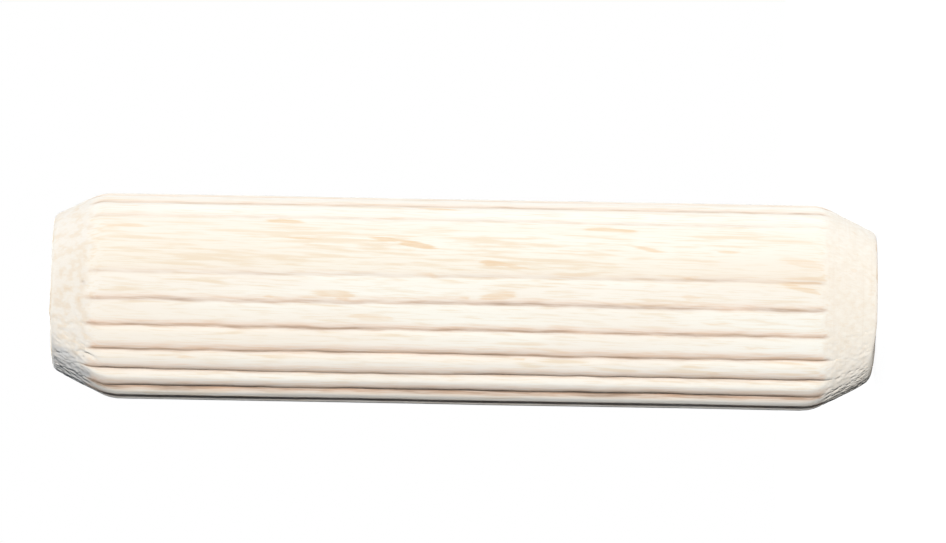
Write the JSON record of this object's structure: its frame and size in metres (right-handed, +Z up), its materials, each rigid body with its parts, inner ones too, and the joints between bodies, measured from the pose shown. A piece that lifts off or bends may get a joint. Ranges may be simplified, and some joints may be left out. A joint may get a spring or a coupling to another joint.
{
  "type": "dowel pin",
  "caption": "Round fluted beech pin with chamfered ends, pressed and glued into matching holes to join and align wooden boards.",
  "frame": {"origin": "centre of the lower sawn end face, on which the pin stands", "axes": "+Z up along the pin's axis; +X through the middle of the plain strip that carries no flute"},
  "size_m": [0.01, 0.01, 0.04],
  "materials": {
    "beech": "raw"
  },
  "bodies": {
    "root": {"dowel_pin": "beech"}
  },
  "joints": []
}
